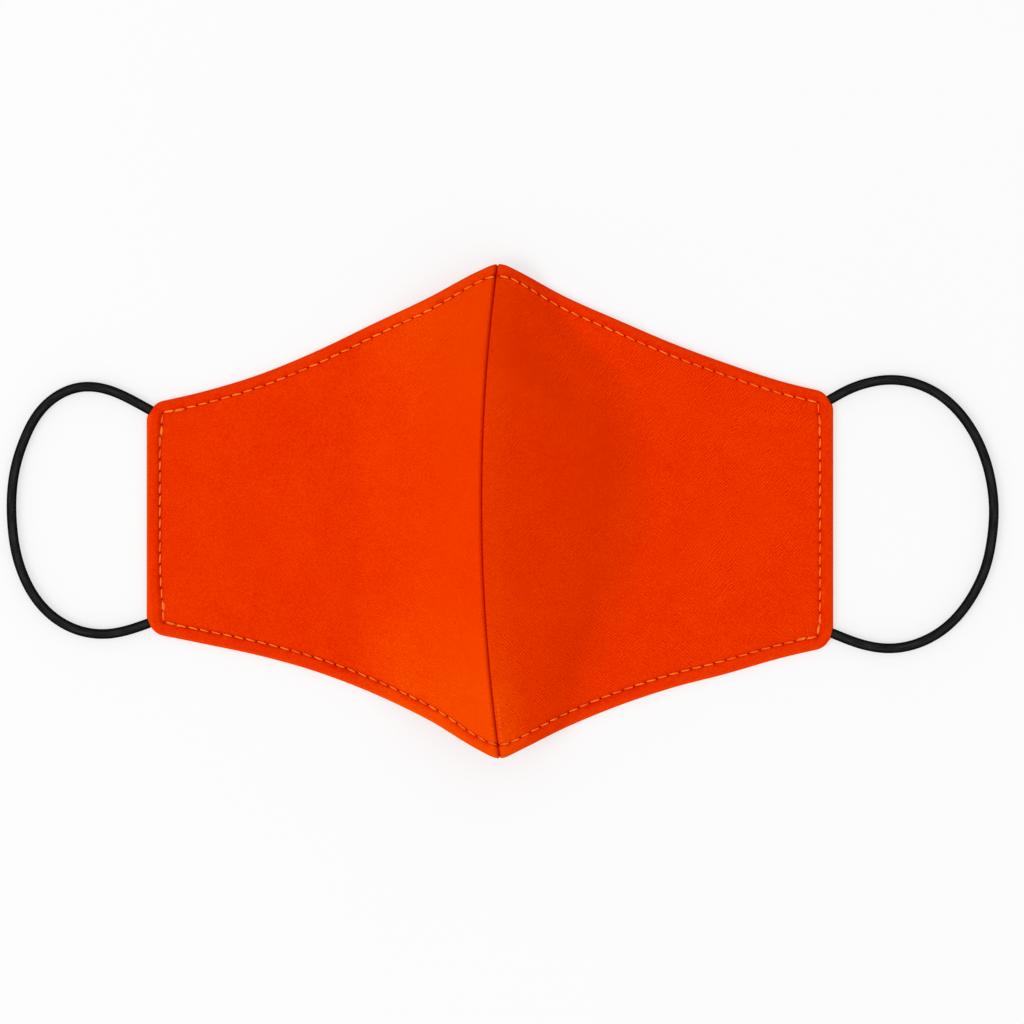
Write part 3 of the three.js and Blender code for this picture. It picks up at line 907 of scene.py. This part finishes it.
def net_face(bm, panel, upper):
    """One face of the panel's cloth as a fine net. Gives each corner's column and row."""
    grid = bmesh.ops.create_grid(bm, x_segments=COLUMNS, y_segments=ROWS, size=0.5)["verts"]
    cells = {}
    for corner in grid:
        from_left = round((corner.co.x + 0.5) * COLUMNS)
        column = from_left if panel.side == "left" else COLUMNS - from_left
        cells[corner] = column, round((corner.co.y + 0.5) * ROWS)
    if not upper:
        faces = {face for corner in grid for face in corner.link_faces}
        bmesh.ops.reverse_faces(bm, faces=list(faces))
    return cells


def painted_light_share(panel, x, y):
    """Painted light: how much lighter and more orange the cloth is tinted where the slopes beside the ridge
    face the lamp, from 0 to 1.
    """
    from_seam = max(0, panel.sign * (x - seam_x(y)))
    along = y / MASK_HEIGHT
    if panel.side == "left":
        near = 1 - ease(24 * MM, 52 * MM, from_seam)
        return near * (0.22 + 0.62 * ease(0.12, 0.42, -along) + 0.22 * ease(0.15, 0.42, along))
    near = 1 - ease(2 * MM, 16 * MM, from_seam)
    return near * (0.03 + 0.4 * ease(0.18, 0.42, -along))


def make_panel(side, material):
    panel = PANELS[side]
    bm = bmesh.new()
    cut = bm.loops.layers.uv.new("cut")
    rim_line = bm.verts.layers.float_vector.new("rim_line")
    side_line = bm.verts.layers.float_vector.new("side_line")
    painted_light = bm.verts.layers.float.new("painted_light")
    seen = {(c, r): place_from_above(panel, c, r) for c in range(COLUMNS + 1) for r in range(ROWS + 1)}
    cells = {}
    for upper in (True, False):
        for corner, cell in net_face(bm, panel, upper).items():
            x, y = seen[cell]
            corner.co = x, y, face_height(panel, x, y, upper)
            cells[corner] = cell
    bmesh.ops.bridge_loops(bm, edges=[edge for edge in bm.edges if edge.is_boundary])

    lifted = {cell: Vector((x, y, ridge_lift(panel, x, y))) for cell, (x, y) in seen.items()}
    flat = cut_lengths(lifted)
    for corner, cell in cells.items():
        x, y = seen[cell]
        hem = hem_place(panel, x, y)
        corner[rim_line] = count_at(panel.lines[hem.end], x, 0), hem.past_rim / MM, hem.past_side / MM
        corner[side_line] = count_at(panel.lines["side"], y, 1), hem.past_side / MM, hem.past_rim / MM
        corner[painted_light] = painted_light_share(panel, x, y)
    for face in bm.faces:
        for loop in face.loops:
            from_seam, along = flat[cells[loop.vert]]
            loop[cut].uv = panel.sign * from_seam, along
    return add_piece("cloth_" + side, bm, material, "mask_cloth", "panel_" + side)


def cloth_normal(panel, x, y):
    step = 0.6 * MM
    east = ridge_lift(panel, x + step, y) - ridge_lift(panel, x - step, y)
    north = ridge_lift(panel, x, y + step) - ridge_lift(panel, x, y - step)
    return Vector((-east / (2 * step), -north / (2 * step), 1)).normalized()


def add_stitch(bm, ends, up, thickness, flatten, height):
    """One stitch: a short thread that rises out of one needle hole and dives into the next."""
    start, end = ends
    axis = end - start
    half = axis / 2 * STITCH_SHOWN
    across = up.cross(axis).normalized()
    middle = (start + end) / 2
    ball = bmesh.ops.create_uvsphere(bm, u_segments=8, v_segments=10, radius=1, calc_uvs=True)["verts"]
    for corner in ball:
        along = corner.co.z
        ring = math.hypot(corner.co.x, corner.co.y)
        full = math.sqrt(max(0, 1 - abs(along) ** 2.8))
        if ring > 1e-6:
            side, rise = corner.co.x / ring * full, corner.co.y / ring * full
        else:
            side, rise = 0, 0
        arch = height * (1 - 1.7 * along * along)
        corner.co = (
            middle + half * along + across * (side * thickness) + up * (rise * thickness * flatten + arch)
        )


def on_slope(panel, places, middle, height):
    """Places around a middle one as points in space, each as high as the sloping cloth makes it."""
    base = ridge_lift(panel, *middle)
    return [Vector((*place, height + ridge_lift(panel, *place) - base)) for place in places]


def make_stitches(side, material):
    """All of one panel's topstitching, as it shows on the outside and inside of the cloth."""
    panel = PANELS[side]
    bm = bmesh.new()
    bm.loops.layers.uv.new("thread")
    rows = [(name, line, first, 0) for name, line in panel.lines.items() for first in range(line.stitches)]
    for name, place in LOCKED_STITCHES[side]:
        line = panel.lines[name]
        first = place if place >= 0 else line.stitches + place
        rows += [(name, line, first + on, aside) for on, aside in LOCKED_SHIFTS]
    for name, line, first, offset in rows:
        holes = [point_at(line, clamp(count, 0, line.stitches)) for count in (first, first + 1)]
        run = Vector(holes[1]) - Vector(holes[0])
        aside = Vector((-run.y, run.x)).normalized()
        middle = (Vector(holes[0]) + Vector(holes[1])) / 2
        wobble = noise.noise(Vector((middle.x / (2 * MM), middle.y / (2 * MM), 3)))
        slant = STITCH_SLANT * (1 + wobble)
        shift = offset * 2 * THREAD_RADIUS
        seen = [Vector(holes[0]) + aside * (shift + slant), Vector(holes[1]) + aside * (shift - slant)]
        up = cloth_normal(panel, *middle)
        thickness = THREAD_RADIUS * (1 + 0.12 * wobble)
        outer = on_slope(panel, seen, middle, face_height(panel, *middle, True))
        lift = 0.35 if offset == 0 else 0.8
        add_stitch(bm, outer, up, thickness, 0.85, lift * THREAD_RADIUS)
        if offset == 0:
            inner = on_slope(panel, seen, middle, face_height(panel, *middle, False))
            add_stitch(bm, inner, -up, thickness, 0.5, 0.05 * THREAD_RADIUS)
    return add_piece("topstitch_" + side, bm, material, "hem_thread")


def cord_route(side):
    """The loop's middle line as points a millimetre apart, with its ends tucked into the hem."""
    panel = PANELS[side]
    level = CORD_DIAMETER / 2
    points = [Vector((panel.edge_x + panel.sign * out * MM, y * MM, level)) for out, y in ROUTES[side]]
    for end, beside in ((0, 1), (-1, -2)):
        inwards = (points[end] - points[beside]).normalized()
        tucked = points[end] + inwards * CORD_TUCK
        points.insert(0 if end == 0 else len(points), tucked)
    rows = [{"length": 0, "x": points[0].x, "y": points[0].y}]
    for last, point in zip(points, points[1:]):
        length = rows[-1]["length"] + (point - last).length
        rows.append({"length": length, "x": point.x, "y": point.y})
    whole = rows[-1]["length"]
    steps = round(whole / MM)
    lengths = [whole * i / steps for i in range(steps + 1)]
    path = []
    for at in lengths:
        x, y = (read_table(rows, "length", axis, at) for axis in ("x", "y"))
        path.append(Vector((x, y, level)))
    for _ in range(ROUTE_SMOOTHINGS):
        inner = [(before + 2 * here + after) / 4 for before, here, after in zip(path, path[1:], path[2:])]
        path = [path[0], *inner, path[-1]]
    return path


def make_cord(side, material, path):
    """Round elastic: a sheet rolled into a tube along the loop's middle line."""
    steps = len(path) - 1
    bm = bmesh.new()
    bm.loops.layers.uv.new("cord")
    made = bmesh.ops.create_grid(bm, x_segments=CORD_SIDES, y_segments=steps, size=0.5, calc_uvs=True)
    up = Vector((0, 0, 1))
    for corner in made["verts"]:
        turn = round((corner.co.x + 0.5) * CORD_SIDES) * 2 * math.pi / CORD_SIDES
        step = round((corner.co.y + 0.5) * steps)
        ahead = path[min(step + 1, steps)] - path[max(step - 1, 0)]
        aside = ahead.cross(up).normalized()
        pressed = 1 - 0.55 * ease(CORD_TUCK - 0.8 * MM, CORD_TUCK - 2.6 * MM, min(step, steps - step) * MM)
        narrowed = 0.5 + 0.5 * pressed
        rise = math.sin(turn) * pressed + 0.15 * (pressed - 1)
        around = aside * (math.cos(turn) * narrowed) + up * rise
        corner.co = path[step] + around * (CORD_DIAMETER / 2)
    bmesh.ops.remove_doubles(bm, verts=bm.verts[:], dist=0.001 * MM)
    bmesh.ops.holes_fill(bm, edges=[edge for edge in bm.edges if edge.is_boundary], sides=0)
    bmesh.ops.recalc_face_normals(bm, faces=bm.faces[:])
    return add_piece("cord_" + side, bm, material, "ear_elastic", "ear_loop_" + side)


# Surroundings

def add_camera():
    camera = bpy.data.objects.new("camera", bpy.data.cameras.new("camera"))
    bpy.context.scene.collection.objects.link(camera)
    middle = PHOTO_SIDE / 2
    camera.location = (middle - ORIGIN_PIXEL[0]) * PIXEL, (ORIGIN_PIXEL[1] - middle) * PIXEL, CAMERA_HEIGHT
    camera.data.sensor_width = 36
    camera.data.lens = camera.data.sensor_width * CAMERA_HEIGHT / (PHOTO_SIDE * PIXEL)
    camera.data.clip_end = 20
    bpy.context.scene.camera = camera


def add_light(name, place, side, power):
    light = bpy.data.lights.new(name, "AREA")
    light.size = side
    light.energy = power
    lamp = bpy.data.objects.new(name, light)
    lamp.location = place
    lamp.rotation_euler = (-Vector(place)).to_track_quat("-Z", "Y").to_euler()
    bpy.context.scene.collection.objects.link(lamp)


def add_surroundings():
    scene = bpy.context.scene
    scene.view_settings.view_transform = "Standard"
    world = bpy.data.worlds.new("studio")
    world.use_nodes = True
    background = world.node_tree.nodes["Background"]
    background.inputs["Color"].default_value = STUDIO_WHITE
    background.inputs["Strength"].default_value = STUDIO_BRIGHTNESS
    scene.world = world
    add_light("left_window", WINDOW_PLACE, WINDOW_SIDE, WINDOW_POWER)
    bm = bmesh.new()
    level = Matrix.Translation((0, 0, FLOOR_LEVEL))
    bmesh.ops.create_grid(
        bm, x_segments=FLOOR_CELLS, y_segments=FLOOR_CELLS, size=FLOOR_REACH, matrix=level
    )
    add_piece("table_top", bm, make_floor_material())


add_camera()
cord_paths = {side: cord_route(side) for side in ("left", "right")}
elastic = make_cord_material()
for side, path in cord_paths.items():
    cord = make_cord(side, elastic, path)

cloth = make_cloth_material()
thread = make_thread_material()
for side in ("left", "right"):
    sheet = make_panel(side, cloth)
    stitches = make_stitches(side, thread)

add_surroundings()
